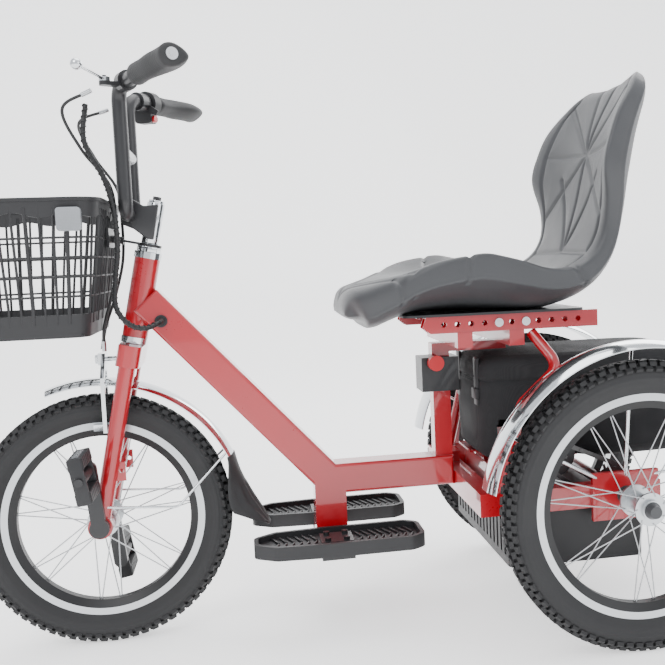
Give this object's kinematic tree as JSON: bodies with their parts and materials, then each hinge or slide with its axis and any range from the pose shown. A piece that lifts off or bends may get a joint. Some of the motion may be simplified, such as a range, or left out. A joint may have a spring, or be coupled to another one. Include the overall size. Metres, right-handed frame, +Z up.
{
  "type": "adult electric tricycle",
  "caption": "Low step-through electric tricycle with bucket seat, drilled seat rails, foot rests, front basket and rear drive.",
  "frame": {"origin": "on the ground under the middle of the bounding box", "axes": "+Z up, +X to the rear, -X the riding direction, -Y the rider's left"},
  "size_m": [1.2959, 0.6348, 0.9062],
  "materials": {
    "red_enamel": "gloss red enamel",
    "black_enamel": "satin black powder coat",
    "chrome_plate": "bright chrome plate",
    "rim_alloy": "machined alloy",
    "spoke_steel": "zinc-plated steel",
    "tyre_rubber": "moulded tyre rubber",
    "seat_leather": "dark grey synthetic leather",
    "black_plastic": "moulded black plastic",
    "grip_rubber": "soft black rubber",
    "bag_fabric": "woven black polyester",
    "motor_paint": "dark cast motor housing",
    "button_red": "glossy red plastic",
    "knob_red": "red moulded plastic",
    "grey_bar": "light grey painted tube",
    "reflector": "grey reflector plastic",
    "cable_sheath": "black cable sheath",
    "drive_steel": "oiled steel"
  },
  "bodies": {
    "frame": {"main_frame": "red_enamel", "head_cups": "chrome_plate", "cable_grommet": "black_plastic", "rear_stays": "red_enamel", "seat_carrier": "red_enamel", "seat_rails": "red_enamel", "seat_bolts": "chrome_plate", "seat_plate": "black_enamel", "seat_cushion": "seat_leather", "post_clamp": "black_enamel", "foot_rests": "black_plastic", "foot_clamps": "black_enamel", "battery_case": "black_plastic", "storage_bag": "bag_fabric", "rear_brackets": "red_enamel", "rear_fenders": "chrome_plate", "fender_stays": "chrome_plate", "rear_bearings": "drive_steel", "motor": "motor_paint", "chain": "drive_steel"},
    "steering": {"fork": "red_enamel", "stem": "black_enamel", "handlebar": "black_enamel", "crossbar": "grey_bar", "grips": "grip_rubber", "lever_brackets": "black_enamel", "switch_housing": "black_plastic", "basket": "black_plastic", "basket_bracket": "black_enamel", "basket_reflector": "reflector", "front_fender": "chrome_plate", "mud_flap": "black_plastic", "fork_fittings": "chrome_plate", "brake_cables": "cable_sheath", "main_harness": "cable_sheath"},
    "front_wheel": {"front_tyre": "tyre_rubber", "front_rim": "rim_alloy", "front_spokes": "spoke_steel", "front_hub": "rim_alloy"},
    "cranks": {"crankset": "black_enamel"},
    "left_pedal": {"pedal_left": "black_plastic"},
    "right_pedal": {"pedal_right": "black_plastic"},
    "left_wheel": {"rear_axle": "drive_steel", "rear_hub_left": "rim_alloy", "rear_tyre_left": "tyre_rubber", "rear_rim_left": "rim_alloy", "rear_spokes_left": "spoke_steel", "axle_sprocket": "drive_steel"},
    "right_wheel": {"rear_hub_right": "rim_alloy", "rear_tyre_right": "tyre_rubber", "rear_rim_right": "rim_alloy", "rear_spokes_right": "spoke_steel"},
    "drive_pinion": {"motor_sprocket": "drive_steel"},
    "left_lever": {"brake_lever_left": "chrome_plate"},
    "right_lever": {"brake_lever_right": "chrome_plate"},
    "left_caliper": {"brake_arm_left": "chrome_plate"},
    "right_caliper": {"brake_arm_right": "chrome_plate"},
    "throttle": {"throttle_lever": "black_plastic"},
    "horn": {"horn_button": "button_red"},
    "knob": {"clamp_knob": "knob_red"}
  },
  "joints": [
    {"name": "steering_turn", "type": "hinge", "parent": "frame", "child": "steering", "pos_m": [-0.34965, 0, 0.496], "axis": [0.2113, 0, 0.9774], "range_deg": [-45, 45], "deforming": ["main_harness"]},
    {"name": "front_wheel_spin", "type": "hinge", "parent": "steering", "child": "front_wheel", "pos_m": [-0.413, 0, 0.203], "axis": [0, -1, 0], "continuous": true},
    {"name": "crank_spin", "type": "hinge", "parent": "steering", "child": "cranks", "pos_m": [-0.413, 0, 0.203], "axis": [0, -1, 0], "continuous": true},
    {"name": "left_pedal_spin", "type": "hinge", "parent": "cranks", "child": "left_pedal", "pos_m": [-0.42304, -0.12, 0.29847], "axis": [0, 1, 0], "continuous": true},
    {"name": "right_pedal_spin", "type": "hinge", "parent": "cranks", "child": "right_pedal", "pos_m": [-0.40297, 0.12, 0.10753], "axis": [0, 1, 0], "continuous": true},
    {"name": "left_wheel_spin", "type": "hinge", "parent": "frame", "child": "left_wheel", "pos_m": [0.402, 0, 0.221], "axis": [0, -1, 0], "continuous": true},
    {"name": "right_wheel_spin", "type": "hinge", "parent": "frame", "child": "right_wheel", "pos_m": [0.402, 0, 0.221], "axis": [0, -1, 0], "continuous": true},
    {"name": "drive_pinion_spin", "type": "hinge", "parent": "frame", "child": "drive_pinion", "pos_m": [0.302, 0, 0.282], "axis": [0, -1, 0], "continuous": true},
    {"name": "left_brake_pull", "type": "hinge", "parent": "steering", "child": "left_lever", "pos_m": [-0.35859, -0.1062, 0.885], "axis": [0, 0, 1], "range_deg": [0, 22], "stiffness_Nm_per_rad": 1.5},
    {"name": "right_brake_pull", "type": "hinge", "parent": "steering", "child": "right_lever", "pos_m": [-0.35859, 0.1062, 0.885], "axis": [0, 0, -1], "range_deg": [0, 22], "stiffness_Nm_per_rad": 1.5},
    {"name": "left_caliper_close", "type": "hinge", "parent": "steering", "child": "left_caliper", "pos_m": [-0.408, 0, 0.462], "axis": [1, 0, 0], "range_deg": [0, 0.9]},
    {"name": "right_caliper_close", "type": "hinge", "parent": "steering", "child": "right_caliper", "pos_m": [-0.408, 0, 0.462], "axis": [-1, 0, 0], "range_deg": [0, 0.9]},
    {"name": "throttle_press", "type": "hinge", "parent": "steering", "child": "throttle", "pos_m": [-0.32453, 0.10339, 0.88533], "axis": [0.4265, 0.904, 0.0278], "range_deg": [0, 35], "stiffness_Nm_per_rad": 0.15},
    {"name": "horn_press", "type": "slide", "parent": "steering", "child": "horn", "axis": [-0.9044, 0.4267, 0], "range_m": [0, 0.002], "stiffness_N_per_m": 400},
    {"name": "clamp_knob_turn", "type": "hinge", "parent": "frame", "child": "knob", "pos_m": [0.138, -0.04, 0.428], "axis": [0, 1, 0], "range_deg": [-180, 180]}
  ],
  "couplings": [
    {"joint": "drive_pinion_spin", "follows": "left_wheel_spin", "ratio": 1.6364},
    {"joint": "left_caliper_close", "follows": "right_brake_pull", "ratio": 0.040909},
    {"joint": "right_caliper_close", "follows": "right_brake_pull", "ratio": 0.040909}
  ]
}
